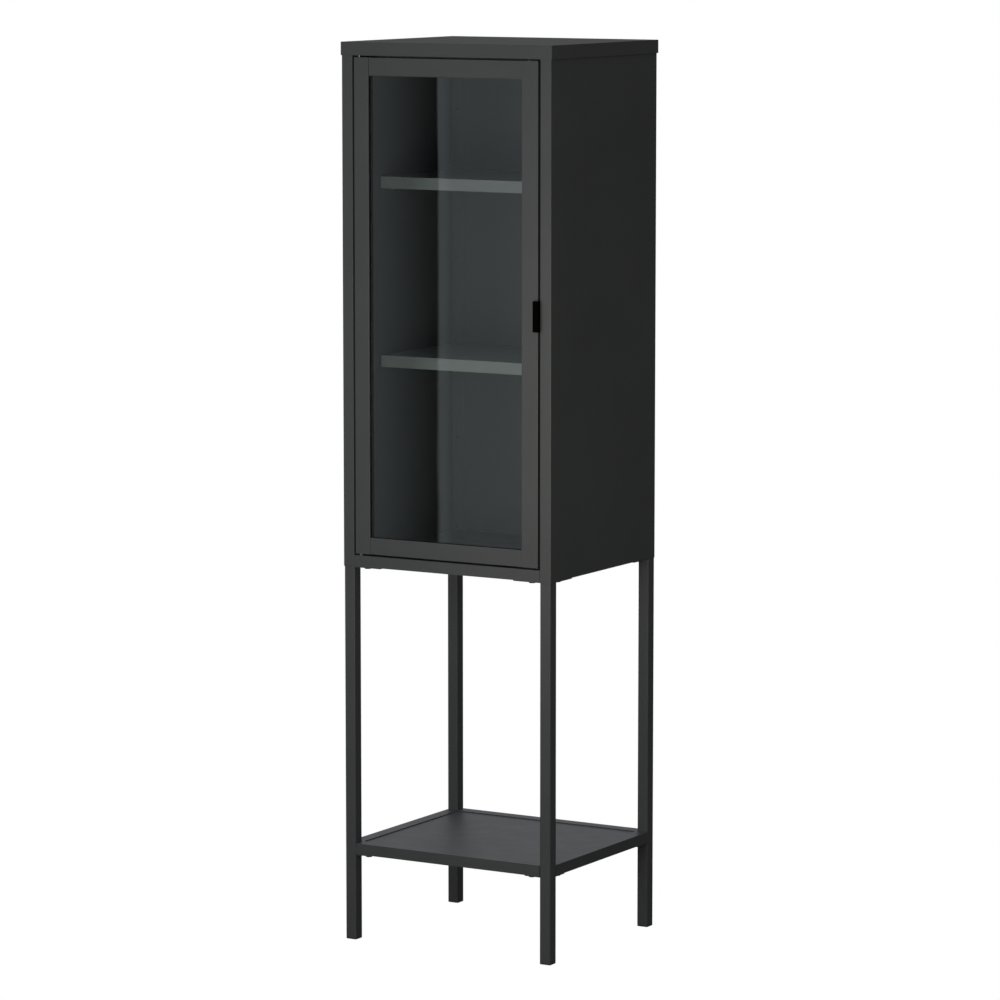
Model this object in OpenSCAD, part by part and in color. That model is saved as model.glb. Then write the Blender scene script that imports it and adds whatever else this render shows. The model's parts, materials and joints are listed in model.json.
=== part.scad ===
// Narrow display cabinet on legs: a folded-steel case with a pivoting glass door and two inner
// shelves, bolted onto four square-tube legs that also carry an open tray shelf near the floor.
// Millimetres. +Z up, the door faces -Y, X = 0 is the middle of the width, Z = 0 is the floor.

/* [Overall size] */
// height from the floor to the top of the lid
overall_h = 1500; // [1300:1:1700]
// width over the lid
lid_w = 400; // [360:1:500]
// depth over the lid
lid_d = 355; // [320:1:450]
// height of the underside of the case above the floor
case_base = 633; // [560:1:700]

/* [Sheet metal] */
// sheet thickness of case, lid and shelves
sheet = 0.8; // [0.7:0.1:1]
// depth of the lid's turned-down lip
lid_lip = 22; // [18:1:30]
// how far the lid stands proud of the door's face
lid_front = 1; // [1:0.1:1.5]
// how far the lid stands out past each side panel
lid_side = 1.5; // [1.2:0.1:2]
// how far the lid stands out behind the back panel
lid_rear = 2; // [2:0.1:3]
// width of the folded front uprights
upright_w = 20.5; // [18:0.5:30]
// height of the front rail under the door
base_rail = 19; // [17:0.5:25]

/* [Door] */
// gap above and below the door
gap_v = 3; // [2:0.5:4]
// gap on the hinge side
gap_hinge = 3; // [3:0.5:4]
// gap on the opening side
gap_lock = 4; // [3.5:0.5:5]
// width of the door frame's top rail and opening stile
frame_w = 30; // [28:1:40]
// width of the door frame's hinge stile and bottom rail
narrow_w = 28; // [28:1:36]
// thickness of the door frame
frame_t = 15; // [15:0.5:18]
// glass thickness
glass_t = 4; // [3:1:4]
// depth of the glass behind the door's face
glass_back = 4; // [3.5:0.5:8]
// hinge pin axis, in from the door's edge
pin_in = 8; // [8:0.5:10]
// hinge pin axis, behind the door's face
pin_back = 5; // [4:0.5:5]
// length of the handle
handle_h = 50; // [30:1:90]
// how far the handle stands out from the door
handle_reach = 9; // [7:0.5:14]

/* [Shelves] */
// height of the lower inner shelf's top
shelf_low_z = 974.5; // [900:0.5:1040]
// height of the upper inner shelf's top
shelf_high_z = 1273.5; // [1200:0.5:1340]
// distance from the door's face back to the shelves' front edge
shelf_set_back = 114; // [60:1:160]
// depth of the shelves' lips
shelf_lip = 19.5; // [15:0.5:30]

/* [Legs and tray] */
// outside width of the square leg tube
leg = 20; // [18:1:22]
// wall of the leg tube
leg_wall = 1.2; // [1:0.1:2]
// how far the legs stand in from the case's sides
leg_inset = 0.8; // [0.5:0.1:2]
// height of the tray shelf's rim
tray_z = 164.5; // [120:0.5:300]
// depth of the tray's lips
tray_lip = 18.5; // [16:0.5:30]
// how far the tray's middle is pressed down below its rim
tray_press = 1.7; // [1:0.1:3]

/* [Hidden] */
$fn = 48;
// a hair's breadth, so that two flanges never meet exactly edge to edge
e = 0.01;

// Y of the door's face: the lid's back and the handle's front are equally far from Y = 0.
front = (handle_reach - lid_d + lid_front) / 2;
case_w = lid_w - 2 * lid_side;
half = case_w / 2;
back = front - lid_front + lid_d - lid_rear;
flange_back = back - sheet;
case_top = overall_h - sheet;
lip_z = overall_h - lid_lip;
floor_z = case_base + base_rail;
mouth = half - upright_w;
return_d = 22;
flange_w = 20;

// Door outline.
door_l = -mouth + gap_hinge;
door_r = mouth - gap_lock;
door_lo = floor_z + gap_v;
door_hi = lip_z - gap_v;
door_mid = (door_lo + door_hi) / 2;
win_l = door_l + narrow_w;
win_r = door_r - frame_w;
wall_t = 1;
hem = 10;
// the open joint between the hinge stile and the rails
joint_gap = 0.9;
glass_edge = 7;
gasket_out = 11;
gasket_in = 0.5;
gasket_f = 2 * wall_t;
gasket_b = frame_t - wall_t;
pin_x = door_l + pin_in;
pin_y = front + pin_back;
pin_r = 1.5;
bush_bore = 1.55;
bush_r = 2.6;

// Legs: centre distances from X = 0 and from the case's front and back planes.
leg_x = half - leg_inset - leg / 2;
leg_f = front + leg_inset + leg / 2;
leg_b = back - leg_inset - leg / 2;
tube_r = 2;
plate_t = 1.5;
foot_h = 2.5;
// how far the base rail's and the tray lips' ends are turned in
turn_in = 8;
bolt_arm = 30;
m6 = 3;
m6_hole = 3.3;
m6_nut = 3.05;

steel = [0.25, 0.26, 0.27];
zinc = [0.72, 0.73, 0.74];
black = [0.06, 0.06, 0.06];

// A box between two opposite corners.
module box(a, b) {
    translate(a) cube(b - a);
}

// A vertical cylinder between two heights.
module post(x, y, z0, z1, r) {
    translate([x, y, z0]) cylinder(r = r, h = z1 - z0);
}

// A cylinder lying along Y, from y0 back to y1.
module post_y(x, y0, y1, z, r) {
    translate([x, y0, z]) rotate([-90, 0, 0]) cylinder(r = r, h = y1 - y0);
}

// A flat rounded rectangle between two opposite corners.
module round_rect(a, b, r) {
    translate([a[0] + r, a[1]]) square([b[0] - a[0] - 2 * r, b[1] - a[1]]);
    translate([a[0], a[1] + r]) square([b[0] - a[0], b[1] - a[1] - 2 * r]);
    for (x = [a[0] + r, b[0] - r])
        for (y = [a[1] + r, b[1] - r])
            translate([x, y]) circle(r = r);
}

// What a fold of radius r takes off a square corner at the origin.
module fold(r) {
    difference() {
        translate([-1, -1]) square(r + 1);
        translate([r, r]) circle(r = r);
    }
}

// Puts a copy of its child on each leg's centre line, mirrored so that +X and +Y always point
// towards the middle of the case.
module at_legs() {
    for (right = [0, 1])
        for (rear = [0, 1])
            translate([right == 1 ? leg_x : -leg_x, rear == 1 ? leg_b : leg_f, 0])
                mirror([right, 0, 0]) mirror([0, rear, 0]) children();
}

// ---------------------------------------------------------------- case

stud_y = [front + 60, front + 300];

module lid() {
    color(steel) difference() {
        union() {
            difference() {
                translate([0, 0, lip_z])
                    linear_extrude(lid_lip)
                        round_rect([-lid_w / 2, front - lid_front], [lid_w / 2, back + lid_rear], 1.2);
                box([-lid_w / 2 + sheet, front - lid_front + sheet, lip_z - 1],
                    [lid_w / 2 - sheet, back + lid_rear - sheet, case_top]);
            }
            // inward flange under the front lip, turned down again as the door's stop
            box([-mouth + 2, front - lid_front + sheet / 2, lip_z],
                [mouth - 2, front + frame_t + 3.8, lip_z + sheet]);
            box([-mouth + 38, front + frame_t + 3, lip_z - 10],
                [mouth - 8, front + frame_t + 3.8, lip_z + sheet]);
        }
        post(pin_x, pin_y, lip_z - 1, lip_z + 2, bush_r + 0.05);
    }
}

// Studs welded under the lid.
module lid_studs() {
    color(zinc)
        for (s = [-1, 1])
            for (y = stud_y)
                post(s * (half - 10), y, case_top - 11, case_top, 2);
}

module lid_nuts() {
    color(zinc)
        for (s = [-1, 1])
            for (y = stud_y)
                difference() {
                    translate([s * (half - 10), y, case_top - sheet - 3.2])
                        cylinder(r = 4.04, h = 3.2, $fn = 6);
                    post(s * (half - 10), y, case_top - 6, case_top, 2.05);
                }
}

// clear of both shelves' back lips
back_screw_z = [case_base + 26, (floor_z + shelf_low_z) / 2, (shelf_low_z + shelf_high_z) / 2,
                (shelf_high_z + lip_z) / 2, lip_z - 22];

// Folded section of the right-hand panel: upright, side and rear flange in one sheet.
module side_section() {
    difference() {
        union() {
            translate([half - sheet, front]) square([sheet, flange_back - front]);
            translate([mouth, front]) square([upright_w, sheet]);
            translate([mouth, front]) square([sheet, return_d]);
            translate([mouth, front + return_d - sheet]) square([hem, sheet]);
            translate([half - 22, flange_back - sheet]) square([22, sheet]);
        }
        translate([half, front]) mirror([1, 0]) fold(1.8 * sheet);
        translate([mouth, front]) fold(sheet);
        translate([half, flange_back]) mirror([1, 0]) mirror([0, 1]) fold(1.8 * sheet);
    }
}

// Right-hand panel; the left one is its mirror image.
module side_panel() {
    color(steel) difference() {
        union() {
            translate([0, 0, case_base]) linear_extrude(case_top - case_base) side_section();
            box([half - flange_w + e, front + return_d - sheet / 2, case_top - sheet],
                [half - sheet / 2, flange_back - sheet / 2, case_top]);
            box([half - flange_w + e, front + sheet / 2, case_base],
                [half - sheet / 2, flange_back - sheet / 2, case_base + sheet]);
        }
        for (y = stud_y)
            post(half - 10, y, case_top - 2, case_top + 1, 2.25);
        for (z = back_screw_z)
            post_y(half - 11, flange_back - 2, flange_back + 1, z, 1.7);
        for (y = [leg_f + bolt_arm, leg_b - bolt_arm])
            post(leg_x, y, case_base - 1, case_base + 2, m6_hole);
    }
}

module side_panel_right() {
    side_panel();
}

module side_panel_left() {
    mirror([1, 0, 0]) side_panel();
}

wall_fix_x = 120;
wall_fix_z = lip_z - 38;

module back_panel() {
    color(steel) difference() {
        box([-half + 2, flange_back, case_base + 0.5], [half - 2, back, case_top - 0.7]);
        for (s = [-1, 1]) {
            for (z = back_screw_z)
                post_y(s * (half - 11), flange_back - 1, back + 1, z, 2.1);
            post_y(s * wall_fix_x, flange_back - 1, back + 1, wall_fix_z, 3);
        }
    }
}

module back_panel_screws() {
    color(zinc)
        for (s = [-1, 1])
            for (z = back_screw_z) {
                post_y(s * (half - 11), flange_back - 7, back, z, 1.65);
                difference() {
                    post_y(s * (half - 11), back, back + 1.9, z, 3.6);
                    for (a = [0, 90])
                        translate([s * (half - 11), back + 1.5, z]) rotate([0, a, 0])
                            cube([4, 1.6, 0.9], center = true);
                }
            }
}

module bottom_panel() {
    w = mouth - 0.3;
    rear = flange_back - sheet - 0.3;
    color(steel) difference() {
        union() {
            // floor, narrower between the uprights
            box([-w, front, floor_z - sheet], [w, front + return_d + 1, floor_z]);
            box([-half + sheet + 0.3, front + return_d + 0.4, floor_z - sheet],
                [half - sheet - 0.3, rear, floor_z]);
            // front rail, its bottom flange, and its ends turned in along the uprights
            box([-w, front, case_base], [w, front + sheet, floor_z]);
            box([-w, front, case_base], [w, front + flange_w, case_base + sheet]);
            for (x = [-w, w - sheet])
                box([x, front, case_base], [x + sheet, front + turn_in, floor_z]);
            // back lip and its bottom flange
            box([-mouth, rear - sheet, case_base], [mouth, rear, floor_z]);
            box([-mouth, rear - 22, case_base], [mouth, rear, case_base + sheet]);
            // side lips and the flanges that lie on the side panels' own
            for (s = [0, 1]) mirror([s, 0, 0]) {
                box([half - 2 * sheet - 0.3, front + return_d + 0.4, case_base + sheet],
                    [half - sheet - 0.3, rear, floor_z]);
                box([half - 21, front + return_d + 0.4, case_base + sheet],
                    [half - sheet - 0.3, rear, case_base + 2 * sheet]);
            }
        }
        post(pin_x, pin_y, floor_z - 2, floor_z + 1, bush_r + 0.05);
        for (s = [-1, 1]) {
            for (y = [leg_f, leg_b])
                post(s * (leg_x - bolt_arm), y, case_base - 1, case_base + 3, m6_hole);
            for (y = [leg_f + bolt_arm, leg_b - bolt_arm])
                post(s * leg_x, y, case_base - 1, case_base + 3, m6_hole);
        }
        for (x = catch_screw_x)
            post(x, catch_screw_y, floor_z - 2, floor_z + 1, 1.4);
    }
}

// ---------------------------------------------------------------- inner shelves

shelf_half = half - sheet - 1.7;
shelf_f = front + shelf_set_back;
shelf_b = flange_back - sheet - 0.5;
shelf_screw_y = [shelf_f + 30, shelf_b - 30];
angle_x = half - sheet;
angle_low = 1;

module shelf(z) {
    color(steel) difference() {
        union() {
            difference() {
                translate([0, 0, z - shelf_lip])
                    linear_extrude(shelf_lip)
                        round_rect([-shelf_half, shelf_f], [shelf_half, shelf_b], 2);
                translate([0, 0, z - shelf_lip - 1])
                    linear_extrude(shelf_lip + 1 - sheet)
                        round_rect([-shelf_half + sheet, shelf_f + sheet],
                                   [shelf_half - sheet, shelf_b - sheet], 1.2);
            }
            // flanges turned in at the foot of the front and side lips
            box([-shelf_half + 2, shelf_f + sheet / 2, z - shelf_lip],
                [shelf_half - 2, shelf_f + 9, z - shelf_lip + sheet]);
            for (s = [0, 1]) mirror([s, 0, 0])
                box([shelf_half - 11, shelf_f + 2, z - shelf_lip],
                    [shelf_half - sheet / 2, shelf_b - 2, z - shelf_lip + sheet]);
        }
        for (s = [-1, 1])
            for (y = shelf_screw_y)
                post(s * (shelf_half - 5.5), y, z - shelf_lip - 1, z - shelf_lip + 2, 1.4);
    }
}

module shelf_upper() {
    shelf(shelf_high_z);
}

module shelf_lower() {
    shelf(shelf_low_z);
}

// Angles welded to the side panels; the shelves' side flanges lie on them.
module shelf_angles() {
    color(steel)
        for (z = [shelf_low_z - shelf_lip, shelf_high_z - shelf_lip])
            for (s = [0, 1]) mirror([s, 0, 0]) difference() {
                union() {
                    box([angle_x - 1, shelf_f + 4, z - angle_low], [angle_x, shelf_b - 4, z + 14]);
                    box([angle_x - 14, shelf_f + 4, z - angle_low], [angle_x, shelf_b - 4, z]);
                }
                for (y = shelf_screw_y)
                    post(shelf_half - 5.5, y, z - 2, z + 1, 1.7);
            }
}

module shelf_screws() {
    color(zinc)
        for (z = [shelf_low_z - shelf_lip, shelf_high_z - shelf_lip])
            for (s = [-1, 1])
                for (y = shelf_screw_y) {
                    post(s * (shelf_half - 5.5), y, z - angle_low, z + 5, 1.35);
                    post(s * (shelf_half - 5.5), y, z - angle_low - 1.8, z - angle_low, 2.9);
                }
}

// ---------------------------------------------------------------- hinge seats, stops and catch

module hinge_bush_upper() {
    color("white") difference() {
        union() {
            post(pin_x, pin_y, lip_z, lip_z + sheet + 1, bush_r);
            post(pin_x, pin_y, lip_z + sheet, lip_z + sheet + 1, 4.2);
        }
        post(pin_x, pin_y, lip_z - 1, lip_z + 4, bush_bore);
    }
}

module hinge_bush_lower() {
    color("white") difference() {
        union() {
            post(pin_x, pin_y, floor_z - 4, floor_z + 1, bush_r);
            post(pin_x, pin_y, floor_z, floor_z + 1, 3.2);
        }
        post(pin_x, pin_y, floor_z - 5, floor_z + 2, bush_bore);
    }
}

module door_bumpers() {
    color([0.8, 0.8, 0.8])
        for (x = [-mouth + 60, mouth - 30])
            post_y(x, front + frame_t + 0.3, front + frame_t + 3, lip_z - 6, 3.5);
}

catch_x = [mouth - 104, mouth - 60];
catch_y = [front + frame_t + 0.8, front + frame_t + 13.8];
catch_mid = (catch_x[0] + catch_x[1]) / 2;
catch_screw_x = [catch_x[0] + 5, catch_x[1] - 5];
catch_screw_y = front + frame_t + 8;

module catch_housing() {
    color(black) difference() {
        union() {
            box([catch_x[0], catch_y[0] + 3, floor_z], [catch_x[1], catch_y[1] - 2, floor_z + 3]);
            box([catch_x[0] + 10, catch_y[0], floor_z], [catch_x[1] - 10, catch_y[1], floor_z + 13]);
        }
        box([catch_mid - 9, catch_y[0] - 1, floor_z + 2.5], [catch_mid + 9, catch_y[1] - 2, floor_z + 11]);
        for (x = catch_screw_x)
            post(x, catch_screw_y, floor_z - 1, floor_z + 4, 1.6);
    }
}

module catch_magnet() {
    color([0.2, 0.2, 0.2])
        box([catch_mid - 9, catch_y[0] + 0.2, floor_z + 4], [catch_mid + 9, catch_y[1] - 2, floor_z + 9.5]);
}

module catch_pole_plates() {
    color(zinc)
        for (z = [floor_z + 2.5, floor_z + 9.5])
            box([catch_mid - 9, catch_y[0] - 0.5, z], [catch_mid + 9, catch_y[1] - 2, z + 1.5]);
}

module catch_screws() {
    color(zinc)
        for (x = catch_screw_x) {
            post(x, catch_screw_y, floor_z - 5, floor_z + 3, 1.35);
            post(x, catch_screw_y, floor_z + 3, floor_z + 4.8, 2.8);
        }
}

// ---------------------------------------------------------------- legs

module leg_tube() {
    color(steel) translate([0, 0, foot_h]) difference() {
        linear_extrude(case_base - plate_t - foot_h) difference() {
            round_rect([-leg / 2, -leg / 2], [leg / 2, leg / 2], tube_r);
            round_rect([-leg / 2 + leg_wall, -leg / 2 + leg_wall],
                       [leg / 2 - leg_wall, leg / 2 - leg_wall], 0.4);
        }
    }
}

module leg_front_left() {
    translate([-leg_x, leg_f, 0]) leg_tube();
}

module leg_front_right() {
    translate([leg_x, leg_f, 0]) leg_tube();
}

module leg_rear_left() {
    translate([-leg_x, leg_b, 0]) leg_tube();
}

module leg_rear_right() {
    translate([leg_x, leg_b, 0]) leg_tube();
}

// Plates welded onto the legs' tops, bolted up into the case.
module leg_plates() {
    a = leg / 2;
    color(steel) at_legs() translate([0, 0, case_base - plate_t]) linear_extrude(plate_t) difference() {
        polygon([[-a, -a], [a + 50, -a], [a + 50, a], [a, a + 50], [-a, a + 50]]);
        translate([bolt_arm, 0]) circle(r = m6_hole);
        translate([0, bolt_arm]) circle(r = m6_hole);
    }
}

module m6_bolt(z_seat, length) {
    post(0, 0, z_seat, z_seat + length, m6);
    difference() {
        post(0, 0, z_seat - 2.2, z_seat, 5.25);
        translate([0, 0, z_seat - 3]) cylinder(r = 2.3, h = 2, $fn = 6);
    }
}

module m6_weld_nut(z_seat) {
    difference() {
        translate([0, 0, z_seat]) cylinder(r = 5.77, h = 5, $fn = 6);
        post(0, 0, z_seat - 1, z_seat + 6, m6_nut);
    }
}

module leg_bolts() {
    color(zinc) at_legs() {
        translate([bolt_arm, 0, 0]) m6_bolt(case_base - plate_t, 12);
        translate([0, bolt_arm, 0]) m6_bolt(case_base - plate_t, 12);
    }
}

module leg_weld_nuts() {
    color(zinc) at_legs() {
        translate([bolt_arm, 0, 0]) m6_weld_nut(case_base + sheet);
        translate([0, bolt_arm, 0]) m6_weld_nut(case_base + 2 * sheet);
    }
}

module foot_caps() {
    a = leg / 2;
    p = a - leg_wall - 0.05;
    color(black) at_legs() {
        linear_extrude(0.6) round_rect([-a + 0.5, -a + 0.5], [a - 0.5, a - 0.5], tube_r);
        translate([0, 0, 0.6]) linear_extrude(foot_h - 0.6) round_rect([-a, -a], [a, a], tube_r);
        translate([0, 0, foot_h]) linear_extrude(14) round_rect([-p, -p], [p, p], 0.6);
    }
}

// ---------------------------------------------------------------- tray shelf

tray_x = half - leg_inset;
tray_f = front + leg_inset;
tray_b = back - leg_inset;
notch = leg + 0.3;
tray_rim = notch + 1.7;
tray_flange = notch - 1;
tray_lo = tray_z - tray_lip;

// Cuts the four corners away for the legs.
module tray_notches() {
    for (x = [-tray_x - 1, tray_x - notch])
        for (y = [tray_f - 1, tray_b - notch])
            translate([x, y]) square(notch + 1);
}

// The tray's plan, drawn in by a distance on all four sides.
module tray_plan(inset) {
    translate([-tray_x + inset, tray_f + inset])
        square([2 * (tray_x - inset), tray_b - tray_f - 2 * inset]);
}

module tray_shelf() {
    color(steel) difference() {
        union() {
            tray_lips();
            // flat rim
            translate([0, 0, tray_z - sheet]) linear_extrude(sheet) difference() {
                tray_plan(0);
                tray_notches();
                tray_plan(tray_rim);
            }
            // middle, pressed down by a step all round
            difference() {
                translate([0, 0, tray_z - tray_press - sheet])
                    linear_extrude(tray_press + sheet) tray_plan(tray_rim - sheet);
                translate([0, 0, tray_z - tray_press])
                    linear_extrude(tray_press + 1) tray_plan(tray_rim);
            }
        }
        for (s = [-1, 1]) {
            for (y = [leg_f, leg_b])
                post(s * (leg_x - bolt_arm), y, tray_lo - 1, tray_lo + 2, m6_hole);
            for (y = [leg_f + bolt_arm, leg_b - bolt_arm])
                post(s * leg_x, y, tray_lo - 1, tray_lo + 2, m6_hole);
        }
    }
}

// Lips, their ends turned in along the legs, and the flanges turned in at their feet.
module tray_lips() {
    for (s = [0, 1]) mirror([s, 0, 0]) {
        box([tray_x - sheet, tray_f + notch, tray_lo], [tray_x, tray_b - notch, tray_z]);
        box([tray_x - tray_flange, tray_f + notch, tray_lo], [tray_x, tray_b - notch, tray_lo + sheet]);
        for (y = [tray_f + notch, tray_b - notch - sheet])
            box([tray_x - turn_in, y, tray_lo], [tray_x, y + sheet, tray_z]);
        for (y = [tray_f, tray_b - turn_in])
            box([tray_x - notch - sheet, y, tray_lo], [tray_x - notch, y + turn_in, tray_z]);
    }
    for (y = [tray_f, tray_b - sheet])
        box([-tray_x + notch, y, tray_lo], [tray_x - notch, y + sheet, tray_z]);
    for (y = [tray_f, tray_b - tray_flange])
        box([-tray_x + notch, y, tray_lo], [tray_x - notch, y + tray_flange, tray_lo + sheet]);
}

// Corner plates welded to the legs; the tray is bolted down onto them.
module tray_brackets() {
    a = leg / 2;
    color(steel) at_legs() translate([0, 0, tray_lo - plate_t]) linear_extrude(plate_t) difference() {
        polygon([[a, -a + 1], [a + 29, -a + 1], [a + 29, a], [a, a + 29], [-a + 1, a + 29],
                 [-a + 1, a], [a, a]]);
        translate([bolt_arm, 0]) circle(r = m6_hole);
        translate([0, bolt_arm]) circle(r = m6_hole);
    }
}

module tray_bolts() {
    color(zinc) at_legs() {
        translate([bolt_arm, 0, 0]) m6_bolt(tray_lo - plate_t, 12);
        translate([0, bolt_arm, 0]) m6_bolt(tray_lo - plate_t, 12);
    }
}

module tray_weld_nuts() {
    color(zinc) at_legs() {
        translate([bolt_arm, 0, 0]) m6_weld_nut(tray_lo + sheet);
        translate([0, bolt_arm, 0]) m6_weld_nut(tray_lo + sheet);
    }
}

// ---------------------------------------------------------------- door

// Folded section of a door member: its outer edge at 0, its face towards -Y. The inner edge of
// its face is rounded only where inner_fold is above 0.
module frame_section(w, inner_fold) {
    difference() {
        union() {
            square([w, wall_t]);
            square([wall_t, frame_t]);
            translate([0, frame_t - wall_t]) square([w - 2, wall_t]);
            translate([w - hem, wall_t / 2]) square([hem, 1.5 * wall_t]);
        }
        fold(wall_t);
        translate([0, frame_t]) mirror([0, 1]) fold(wall_t);
        if (inner_fold > 0)
            translate([w, 0]) mirror([1, 0]) fold(inner_fold);
    }
}

// A door rail of width w, its outer edge at height z; up = 1 points inwards up.
module rail(w, z, up) {
    x0 = win_l + joint_gap;
    x1 = win_r - 0.05;
    translate([x0, front, z]) mirror([0, 0, up > 0 ? 0 : 1])
        rotate([90, 0, 90]) linear_extrude(x1 - x0)
            mirror([1, -1]) frame_section(w, wall_t);
}

gusset_leg = 56;
gusset_w = 15;
gusset_y = front + frame_t - wall_t;
frame_screws = [[9, 32], [9, 50], [40, 9], [51, 9]];

// Positions of the frame screws, measured in from each corner of the door.
module at_frame_screws(list) {
    for (q = list) {
        for (x = [door_l + q[0], door_r - q[0]])
            for (z = [door_lo + q[1], door_hi - q[1]])
                translate([x, 0, z]) children();
    }
}

module door_hinge_stile() {
    color(steel) difference() {
        translate([door_l, front, door_lo]) linear_extrude(door_hi - door_lo)
            frame_section(narrow_w, wall_t);
        at_frame_screws([frame_screws[0], frame_screws[1]]) post_y(0, gusset_y - 1, gusset_y + 2, 0, 1.7);
    }
}

module door_lock_stile() {
    color(steel) difference() {
        translate([door_r, front, door_lo]) mirror([1, 0, 0])
            linear_extrude(door_hi - door_lo) frame_section(frame_w, 0);
        at_frame_screws([frame_screws[0], frame_screws[1]]) post_y(0, gusset_y - 1, gusset_y + 2, 0, 1.7);
        for (z = handle_screw_z)
            translate([door_r - 2, front + 7, z]) rotate([0, 90, 0]) cylinder(r = 1.55, h = 3);
    }
}

module door_top_rail() {
    color(steel) difference() {
        rail(frame_w, door_hi, -1);
        at_frame_screws([frame_screws[2], frame_screws[3]]) post_y(0, gusset_y - 1, gusset_y + 2, 0, 1.7);
    }
}

module door_bottom_rail() {
    color(steel) difference() {
        rail(narrow_w, door_lo, 1);
        at_frame_screws([frame_screws[2], frame_screws[3]]) post_y(0, gusset_y - 1, gusset_y + 2, 0, 1.7);
    }
}

glass_l = win_l - glass_edge;
glass_r = win_r + glass_edge;
glass_lo = door_lo + narrow_w - glass_edge;
glass_hi = door_hi - frame_w + glass_edge;

module door_glass() {
    color([0.75, 0.85, 0.85, 0.35])
        box([glass_l, front + glass_back, glass_lo], [glass_r, front + glass_back + glass_t, glass_hi]);
}

// Four rubber channels round the glass; the upright ones run past the level ones.
module door_gasket() {
    color(black) difference() {
        union() {
            for (x = [[win_l - gasket_out, win_l - gasket_in], [win_r + gasket_in, win_r + gasket_out]])
                box([x[0], front + gasket_f, door_lo + narrow_w - gasket_out],
                    [x[1], front + gasket_b, door_hi - frame_w + gasket_out]);
            for (z = [[door_lo + narrow_w - gasket_out, door_lo + narrow_w - gasket_in],
                      [door_hi - frame_w + gasket_in, door_hi - frame_w + gasket_out]])
                box([win_l - gasket_in + 0.05, front + gasket_f, z[0]],
                    [win_r + gasket_in - 0.05, front + gasket_b, z[1]]);
        }
        box([glass_l, front + glass_back, glass_lo], [glass_r, front + glass_back + glass_t, glass_hi]);
    }
}

// Corner plates inside the frame, screwed through its back flanges.
module door_gussets() {
    color(zinc) difference() {
        for (s = [0, 1])
            for (t = [0, 1])
                translate([s == 0 ? door_l : door_r, gusset_y - 2, t == 0 ? door_lo : door_hi])
                    mirror([s, 0, 0]) mirror([0, 0, t]) {
                        box([1.2, 0, 1.2], [1.2 + gusset_leg, 2, 1.2 + gusset_w]);
                        box([1.2, 0, 1.2], [1.2 + gusset_w, 2, 1.2 + gusset_leg]);
                    }
        at_frame_screws(frame_screws) post_y(0, gusset_y - 3, gusset_y + 1, 0, 1.45);
    }
}

module door_frame_screws() {
    color(zinc) at_frame_screws(frame_screws) {
        post_y(0, gusset_y - 4, gusset_y + wall_t, 0, 1.4);
        difference() {
            post_y(0, gusset_y + wall_t, gusset_y + wall_t + 1.5, 0, 2.7);
            for (a = [0, 90])
                translate([0, gusset_y + wall_t + 1.2, 0]) rotate([0, a, 0])
                    cube([3.2, 1.4, 0.7], center = true);
        }
    }
}

// Steel blocks welded into the ends of the hinge stile; the pins are pressed into them.
module hinge_blocks() {
    color(zinc)
        for (z = [door_lo, door_hi - 12]) difference() {
            box([door_l + wall_t, front + wall_t, z], [door_l + 17, gusset_y - 2, z + 12]);
            post(pin_x, pin_y, z - 1, z + 13, pin_r);
        }
}

module hinge_pin_upper() {
    color(zinc) post(pin_x, pin_y, door_hi - 12, lip_z + sheet + 2, pin_r);
}

module hinge_pin_lower() {
    color(zinc) post(pin_x, pin_y, floor_z - 4.5, door_lo + 12, pin_r);
}

module hinge_washer() {
    color("white") difference() {
        post(pin_x, pin_y, floor_z + 1, door_lo, 2.4);
        post(pin_x, pin_y, floor_z, door_lo + 1, pin_r);
    }
}

module lock_stile_plugs() {
    color(black)
        for (z = [door_lo, door_hi - 9])
            box([door_r - 18, front + wall_t, z], [door_r - wall_t, gusset_y - 2, z + 9]);
}

handle_screw_z = [door_mid - 15, door_mid + 15];
handle_l = door_r - 5.5;
handle_r = mouth + 1;

// A pull that stands out at the door's free edge, on a plate screwed to that edge.
module door_handle() {
    z0 = door_mid - handle_h / 2;
    color(black) difference() {
        union() {
            translate([0, 0, z0]) linear_extrude(handle_h)
                round_rect([handle_l, front - handle_reach], [handle_r, front - 1], 1.5);
            box([handle_l, front - 3, z0 + 1], [door_r, front, z0 + handle_h - 1]);
            box([door_r, front - 3, z0 + 1], [door_r + 2, front + 13, z0 + handle_h - 1]);
        }
        for (z = handle_screw_z)
            translate([door_r - 1, front + 7, z]) rotate([0, 90, 0]) {
                cylinder(r = 1.6, h = 4);
                translate([0, 0, 1.4]) cylinder(r1 = 1.6, r2 = 3.2, h = 1.6);
            }
    }
}

module handle_screws() {
    color(zinc)
        for (z = handle_screw_z)
            translate([door_r - 6, front + 7, z]) rotate([0, 90, 0]) {
                cylinder(r = 1.5, h = 7.6);
                translate([0, 0, 6.5]) cylinder(r1 = 1.5, r2 = 2.9, h = 1.4);
            }
}

lid();
lid_studs();
lid_nuts();
side_panel_left();
side_panel_right();
back_panel();
back_panel_screws();
bottom_panel();
shelf_upper();
shelf_lower();
shelf_angles();
shelf_screws();
hinge_bush_upper();
hinge_bush_lower();
door_bumpers();
catch_housing();
catch_magnet();
catch_pole_plates();
catch_screws();
leg_front_left();
leg_front_right();
leg_rear_left();
leg_rear_right();
leg_plates();
leg_bolts();
leg_weld_nuts();
foot_caps();
tray_shelf();
tray_brackets();
tray_bolts();
tray_weld_nuts();
door_hinge_stile();
door_lock_stile();
door_top_rail();
door_bottom_rail();
door_glass();
door_gasket();
door_gussets();
door_frame_screws();
hinge_blocks();
hinge_pin_upper();
hinge_pin_lower();
hinge_washer();
lock_stile_plugs();
door_handle();
handle_screws();
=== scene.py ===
import json
import math

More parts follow.
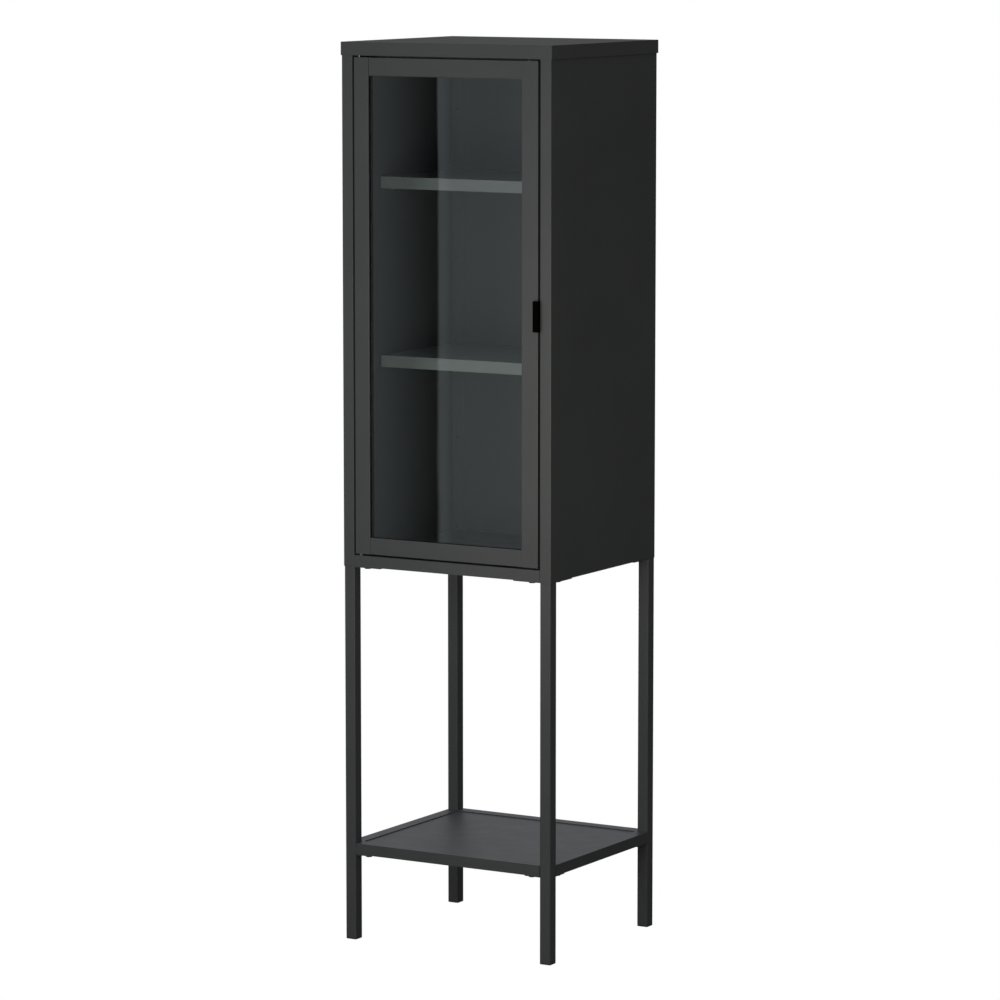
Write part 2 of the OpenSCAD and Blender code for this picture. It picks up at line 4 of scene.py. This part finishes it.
import bpy
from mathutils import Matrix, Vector

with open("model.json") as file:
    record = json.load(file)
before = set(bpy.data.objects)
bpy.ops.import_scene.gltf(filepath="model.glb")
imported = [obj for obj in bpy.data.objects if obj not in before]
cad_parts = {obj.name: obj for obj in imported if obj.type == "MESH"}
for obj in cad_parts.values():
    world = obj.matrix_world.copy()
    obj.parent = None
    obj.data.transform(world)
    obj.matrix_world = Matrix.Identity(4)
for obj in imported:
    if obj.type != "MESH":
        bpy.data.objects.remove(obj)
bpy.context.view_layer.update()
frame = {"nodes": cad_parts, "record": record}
nodes = frame["nodes"]

MM = 0.001


# ---------------------------------------------------------------- node helpers

def rgb(red, green, blue):
    return (red, green, blue, 1.0)


WHITE = rgb(1.0, 1.0, 1.0)


def new_material(name):
    """An empty node material and its output node."""
    material = bpy.data.materials.new(name)
    material.use_nodes = True
    tree = material.node_tree
    tree.nodes.clear()
    output = tree.nodes.new("ShaderNodeOutputMaterial")
    return material, tree, output


def connect(tree, socket, value):
    """Gives an input its value: a link where the value is a socket, else a number or colour."""
    if isinstance(value, bpy.types.NodeSocket):
        tree.links.new(value, socket)
    else:
        socket.default_value = value


def add(tree, kind, settings=None, **inputs):
    """Adds a node, then sets its properties and its inputs. Input names have _ for a space."""
    node = tree.nodes.new(kind)
    for key, value in (settings or {}).items():
        setattr(node, key, value)
    for key, value in inputs.items():
        connect(tree, node.inputs[key.replace("_", " ")], value)
    return node


def noise(tree, where, per_metre, detail=2.0, roughness=0.5):
    """Noise from 0 to 1 with this many cells to the metre."""
    node = add(tree, "ShaderNodeTexNoise",
               Vector=where, Scale=per_metre, Detail=detail, Roughness=roughness)
    return node.outputs["Fac"]


def spread(tree, value, low, high):
    """Maps noise onto low to high. Most noise lies between a quarter and three quarters."""
    node = add(tree, "ShaderNodeMapRange",
               Value=value, From_Min=0.25, From_Max=0.75, To_Min=low, To_Max=high)
    return node.outputs["Result"]


def mixed(tree, factor, first, second):
    """Blends two colours: the first one at 0, the second one at 1."""
    node = add(tree, "ShaderNodeMix", {"data_type": "RGBA"}, Factor=factor)
    node.inputs["A"].default_value = first
    node.inputs["B"].default_value = second
    return node.outputs["Result"]


def darker_and_lighter(colour, by):
    """The two ends of a colour's drift."""
    return [rgb(*(factor * c for c in colour)) for factor in (1.0 - by, 1.0 + by)]


def bump(tree, height, depth, strength=1.0, normal=None):
    node = add(tree, "ShaderNodeBump", Height=height, Distance=depth, Strength=strength)
    if normal is not None:
        tree.links.new(normal, node.inputs["Normal"])
    return node.outputs["Normal"]


def place(tree, stretch=(1.0, 1.0, 1.0)):
    """The object's own coordinates in metres, stretched along its axes."""
    where = add(tree, "ShaderNodeTexCoord").outputs["Object"]
    return add(tree, "ShaderNodeMapping", Vector=where, Scale=stretch).outputs["Vector"]


def surface(tree, output, **inputs):
    """Ends a material in one Principled shader."""
    shader = add(tree, "ShaderNodeBsdfPrincipled", **inputs)
    tree.links.new(shader.outputs["BSDF"], output.inputs["Surface"])


# ---------------------------------------------------------------- materials

COAT_IOR = 1.5
PLASTIC_IOR = 1.49
GLASS_IOR = 1.5
GLASS_TINT = rgb(0.955, 0.98, 0.978)


def powder_coat(name, colour, roughness=0.46):
    """Powder coat: a fine texture, slight orange peel and a faint drift of tone."""
    material, tree, output = new_material(name)
    here = place(tree)
    grain = noise(tree, here, per_metre=1500.0, detail=3.0, roughness=0.6)
    peel = noise(tree, here, per_metre=240.0)
    drift = spread(tree, noise(tree, here, per_metre=7.0, detail=3.0), 0.0, 1.0)
    patches = noise(tree, here, per_metre=30.0, detail=4.0)
    normal = bump(tree, peel, depth=0.03 * MM, strength=0.6)
    surface(tree, output,
            Base_Color=mixed(tree, drift, *darker_and_lighter(colour, by=0.08)),
            Roughness=spread(tree, patches, roughness - 0.03, roughness + 0.03),
            IOR=COAT_IOR,
            Normal=bump(tree, grain, depth=0.02 * MM, strength=0.5, normal=normal))
    return material


def zinc_plate(name, cold, warm):
    """Plated steel with fine scratches, its tone drifting between a cold and a warm cast."""
    material, tree, output = new_material(name)
    here = place(tree)
    drift = spread(tree, noise(tree, here, per_metre=90.0), 0.0, 1.0)
    scratches = noise(tree, place(tree, stretch=(1.0, 1.0, 9.0)), per_metre=700.0, detail=3.0)
    grain = noise(tree, here, per_metre=2500.0)
    surface(tree, output,
            Base_Color=mixed(tree, drift, rgb(*cold), rgb(*warm)),
            Metallic=1.0,
            Roughness=spread(tree, scratches, 0.24, 0.42),
            Normal=bump(tree, grain, depth=0.01 * MM, strength=0.4))
    return material


def moulded(name, colour, roughness, gloss=0.5):
    """A plastic or rubber moulding with a fine surface grain."""
    material, tree, output = new_material(name)
    here = place(tree)
    drift = noise(tree, here, per_metre=60.0, detail=3.0)
    patches = noise(tree, here, per_metre=200.0)
    grain = noise(tree, here, per_metre=900.0)
    surface(tree, output,
            Base_Color=mixed(tree, drift, *darker_and_lighter(colour, by=0.15)),
            Roughness=spread(tree, patches, roughness - 0.05, roughness + 0.05),
            IOR=PLASTIC_IOR,
            Specular_IOR_Level=gloss,
            Normal=bump(tree, grain, depth=0.02 * MM, strength=0.6))
    return material


def sheet_glass(name):
    """Flat glass: it lets light straight through with a green-grey tint, and mirrors with a slight
    wave that is longer along its height."""
    material, tree, output = new_material(name)
    wave = noise(tree, place(tree, stretch=(1.0, 1.0, 0.45)), per_metre=9.0, detail=1.0)
    normal = bump(tree, wave, depth=0.05 * MM)
    clear = add(tree, "ShaderNodeBsdfTransparent", Color=GLASS_TINT)
    mirror = add(tree, "ShaderNodeBsdfGlossy", Color=WHITE, Roughness=0.0, Normal=normal)
    # light isn't bent on its way in, so a face met from inside must mirror no more than
    # the same face met from outside
    inside = add(tree, "ShaderNodeNewGeometry").outputs["Backfacing"]
    index = add(tree, "ShaderNodeMapRange", Value=inside, To_Min=GLASS_IOR, To_Max=1.0 / GLASS_IOR)
    share = add(tree, "ShaderNodeFresnel", IOR=index.outputs["Result"], Normal=normal)
    shader = add(tree, "ShaderNodeMixShader", Fac=share.outputs["Fac"])
    tree.links.new(clear.outputs["BSDF"], shader.inputs[1])
    tree.links.new(mirror.outputs["BSDF"], shader.inputs[2])
    tree.links.new(shader.outputs["Shader"], output.inputs["Surface"])
    return material


MATERIALS = {
    "powder_coat": powder_coat("charcoal_coat", (0.0392, 0.0410, 0.0445)),
    # the shelves get a copy of the coat about three and a half times as light as the charcoal. It
    # is partly a lighter paint and partly painted light, brightening the shelf fronts behind the
    # glass in place of light that doesn't reach them
    "shelf_coat": powder_coat("shelf_coat", (0.136, 0.146, 0.147)),
    "zinc_plate": zinc_plate("zinc", (0.33, 0.35, 0.38), (0.40, 0.40, 0.38)),
    "black_zinc": zinc_plate("black_zinc", (0.040, 0.041, 0.045), (0.055, 0.053, 0.050)),
    "clear_glass": sheet_glass("glass"),
    "glazing_rubber": moulded("gasket_rubber", (0.006, 0.006, 0.006), 0.6, gloss=0.15),
    "bumper_rubber": moulded("bumper_rubber", (0.55, 0.56, 0.55), 0.35),
    "black_plastic": moulded("black_plastic", (0.0012, 0.0014, 0.0013), 0.6, gloss=0.0),
    "natural_nylon": moulded("nylon", (0.115, 0.113, 0.10), 0.45),
    "charcoal_plastic": moulded("charcoal_plastic", (0.033, 0.034, 0.035), 0.5, gloss=0.4),
    "magnet": moulded("magnet", (0.05, 0.05, 0.052), 0.65),
}

# how wide the light catches on the edges of each material
EDGE_WIDTHS = {
    "powder_coat": 0.15 * MM,
    "shelf_coat": 0.2 * MM,
    "zinc_plate": 0.12 * MM,
    "black_zinc": 0.12 * MM,
    "black_plastic": 0.3 * MM,
    "charcoal_plastic": 0.2 * MM,
    "clear_glass": 0.4 * MM,
}
WELD_DISTANCE = 0.002 * MM
EDGE_TURN = math.radians(35)    # edges that turn more than this are rounded


def soften(piece, width):
    """Rounds a piece's sharp edges with modifiers, so its own mesh stays as it is."""
    weld = piece.modifiers.new("weld", "WELD")
    weld.merge_threshold = WELD_DISTANCE
    bevel = piece.modifiers.new("edges", "BEVEL")
    bevel.width = width
    bevel.segments = 2
    bevel.limit_method = "ANGLE"
    bevel.angle_limit = EDGE_TURN
    piece.modifiers.new("shade", "WEIGHTED_NORMAL")


for part in frame["record"]["subparts"]:
    piece, finish = nodes[part["node"]], part["material_slot"]
    for slot in piece.material_slots:
        slot.material = MATERIALS[finish]
    if finish in EDGE_WIDTHS:
        soften(piece, EDGE_WIDTHS[finish])


# ---------------------------------------------------------------- studio

# emission strengths
SKY = 0.8
PATCH_BEHIND = 0.019
ALL_AROUND = 0.089
FLOOR = 0.3
CARD_RIGHT_SHEET = 0.40
CARD_LEFT_SHEET = 0.315
REAR_CARD = 0.44


def math_node(tree, operation, first, second):
    node = add(tree, "ShaderNodeMath", {"operation": operation})
    connect(tree, node.inputs[0], first)
    connect(tree, node.inputs[1], second)
    return node.outputs["Value"]


def product(tree, *factors):
    result = factors[0]
    for factor in factors[1:]:
        result = math_node(tree, "MULTIPLY", result, factor)
    return result


def total(tree, *terms):
    result = terms[0]
    for term in terms[1:]:
        result = math_node(tree, "ADD", result, term)
    return result


def ramp(tree, value, start, end, low=0.0, high=1.0):
    """Goes smoothly from low at start to high at end."""
    node = add(tree, "ShaderNodeMapRange", {"interpolation_type": "SMOOTHSTEP"},
               Value=value, From_Min=start, From_Max=end, To_Min=low, To_Max=high)
    return node.outputs["Result"]


def lamp(name, watts, at, towards, size, colour=(1.0, 1.0, 1.0)):
    """A rectangular light that the camera doesn't see."""
    data = bpy.data.lights.new(name, "AREA")
    data.shape = "RECTANGLE"
    data.size, data.size_y = size
    data.energy = watts
    data.color = colour
    light = bpy.data.objects.new(name, data)
    bpy.context.scene.collection.objects.link(light)
    light.location = at
    light.rotation_euler = (Vector(towards) - Vector(at)).to_track_quat("-Z", "Y").to_euler()
    light.visible_camera = False
    return light


def glowing(tree, output, colour, level):
    """Ends a material in an even glow."""
    shader = add(tree, "ShaderNodeEmission", Color=colour, Strength=level)
    tree.links.new(shader.outputs["Emission"], output.inputs["Surface"])


def stage_sheet(name, corners, material):
    """One four-cornered sheet that belongs to the stage and not to the object."""
    mesh = bpy.data.meshes.new(name)
    mesh.from_pydata(corners, [], [(0, 1, 2, 3)])
    sheet = bpy.data.objects.new(name, mesh)
    bpy.context.scene.collection.objects.link(sheet)
    mesh.materials.append(material)
    return sheet


def reflector(name, ends, foot, head, material):
    """An upright sheet between two ends, seen in the object but not by the camera."""
    corners = [(x, y, z) for z, pair in ((foot, ends), (head, ends[::-1])) for x, y in pair]
    card = stage_sheet(name, corners, material)
    card.visible_camera = False
    card.visible_shadow = False


FLOOR_REACH = 120.0     # metres from the middle, so that its edge is never seen


def pale_floor():
    """A floor that is pure white to the camera and gives everything else a soft, warm bounce."""
    material, tree, output = new_material("pale_floor")
    seen = add(tree, "ShaderNodeLightPath").outputs["Is Camera Ray"]
    level = add(tree, "ShaderNodeMix", Factor=seen)
    level.inputs["A"].default_value = FLOOR
    level.inputs["B"].default_value = 1.0
    tone = mixed(tree, seen, rgb(1.0, 0.96, 0.86), WHITE)
    glowing(tree, output, tone, level.outputs["Result"])
    r = FLOOR_REACH
    floor = stage_sheet("floor", [(-r, -r, 0), (r, -r, 0), (r, r, 0), (-r, r, 0)], material)
    floor.visible_glossy = False


CARD_Y = -3.1725
CARD_LEFT = -2.6
CARD_RIGHT = -1.56
CARD_HIGH = 2.4
CARD_EDGE = -1.847      # x of the line where the two sheets meet
EDGE_BLUR = 0.004
GLOW_FROM, GLOW_TO = 0.012, 0.045       # metres right of that line
GLOW_PEAK = 1.4
FADE_FROM, FADE_TO = 0.0165, -0.168
FADE_PEAK = 1.1
FADE_POWER = 1.4


def reflector_card():
    """The pale card in front and to the left, which the door's glass mirrors. It is like two
    sheets that meet at an upright line. The right sheet glows more close to that line. The left
    one is dark there, and gets lighter away from it up to a fixed level."""
    material, tree, output = new_material("card")
    where = add(tree, "ShaderNodeTexCoord").outputs["Object"]
    x = add(tree, "ShaderNodeSeparateXYZ", Vector=where).outputs["X"]
    on_right = ramp(tree, x, CARD_EDGE - EDGE_BLUR, CARD_EDGE + EDGE_BLUR)
    on_left = math_node(tree, "SUBTRACT", 1.0, on_right)
    glow = ramp(tree, x, CARD_EDGE + GLOW_FROM, CARD_EDGE + GLOW_TO, GLOW_PEAK, 1.0)
    reach = add(tree, "ShaderNodeMapRange", {"clamp": False},
                Value=x, From_Min=CARD_EDGE + FADE_FROM, From_Max=CARD_EDGE + FADE_TO)
    away = math_node(tree, "MAXIMUM", reach.outputs["Result"], 0.0)
    fade = math_node(tree, "POWER", math_node(tree, "MINIMUM", away, FADE_PEAK), FADE_POWER)
    level = total(tree,
                  product(tree, on_right, glow, CARD_RIGHT_SHEET),
                  product(tree, on_left, fade, CARD_LEFT_SHEET))
    glowing(tree, output, rgb(0.92, 1.0, 1.06), level)
    ends = [(CARD_LEFT, CARD_Y), (CARD_RIGHT, CARD_Y)]
    reflector("card", ends, foot=0.0, head=CARD_HIGH, material=material)


def rear_card():
    """A pale card behind and to the left, lower than the lid: the tray shelf mirrors it."""
    material, tree, output = new_material("rear_card")
    glowing(tree, output, rgb(0.97, 1.0, 1.08), REAR_CARD)
    reflector("rear_card", [(-2.1, 1.3), (-0.3, 2.4)], foot=0.05, head=1.4, material=material)


def studio_world():
    """White behind everything that the camera sees. The surfaces mirror and are lit by something
    dimmer: sky overhead, a faint patch behind and to the left, and a faint level all around."""
    world = bpy.data.worlds.new("studio")
    bpy.context.scene.world = world
    world.use_nodes = True
    tree = world.node_tree
    tree.nodes.clear()
    output = tree.nodes.new("ShaderNodeOutputWorld")
    direction = add(tree, "ShaderNodeTexCoord").outputs["Generated"]
    axes = add(tree, "ShaderNodeSeparateXYZ", Vector=direction)
    x, y, z = (axes.outputs[k] for k in "XYZ")
    sky = product(tree, ramp(tree, z, start=0.3, end=0.9), SKY)
    behind = product(tree,
                     ramp(tree, y, start=0.2, end=0.8),
                     ramp(tree, x, start=0.35, end=-0.15),
                     ramp(tree, z, start=0.05, end=0.14),
                     ramp(tree, z, start=0.7, end=0.3),
                     PATCH_BEHIND)
    around = product(tree, ramp(tree, z, start=-0.1, end=0.1, low=0.3), ALL_AROUND)
    seen = add(tree, "ShaderNodeLightPath").outputs["Is Camera Ray"]
    level = add(tree, "ShaderNodeMix", Factor=seen)
    tree.links.new(total(tree, sky, behind, around), level.inputs["A"])
    level.inputs["B"].default_value = 1.0
    background = add(tree, "ShaderNodeBackground", Color=WHITE, Strength=level.outputs["Result"])
    tree.links.new(background.outputs["Background"], output.inputs["Surface"])


pale_floor()
studio_world()
reflector_card()
rear_card()
lamp("key", watts=16.0, at=(-0.95, CARD_Y, 1.1), towards=(-0.95, 0.0, 1.1), size=(1.2, 1.8))
lamp("near", watts=2.9, at=(0.32, -0.95, 0.85), towards=(0.1, 0.0, 0.85), size=(0.3, 0.5),
     colour=(1.0, 1.0, 0.8))
lamp("fill", watts=14.0, at=(1.3, -2.9, 1.1), towards=(0.0, 0.0, 1.0), size=(1.0, 1.6))
back = lamp("back", watts=22.0, at=(-0.7, 3.0, 0.8), towards=(0.0, 0.0, 0.8), size=(1.6, 1.1))
back.visible_glossy = False


# ---------------------------------------------------------------- camera

CAMERA_AT = (3.9014, -6.6053, 1.7370)
CAMERA_AZIMUTH = math.radians(30.560)
CAMERA_DOWN = math.radians(7.431)
LENS = 166.80           # mm, on a sensor 36 mm wide
SENSOR = 36.0
SIGHT = 500.0           # metres, past the floor's far corners

camera_data = bpy.data.cameras.new("camera")
camera_data.lens = LENS
camera_data.sensor_width = SENSOR
camera_data.clip_end = SIGHT
camera = bpy.data.objects.new("camera", camera_data)
bpy.context.scene.collection.objects.link(camera)
camera.location = CAMERA_AT
camera.rotation_euler = (math.radians(90) - CAMERA_DOWN, 0.0, CAMERA_AZIMUTH)
bpy.context.scene.camera = camera

bpy.context.scene.view_settings.view_transform = "Standard"
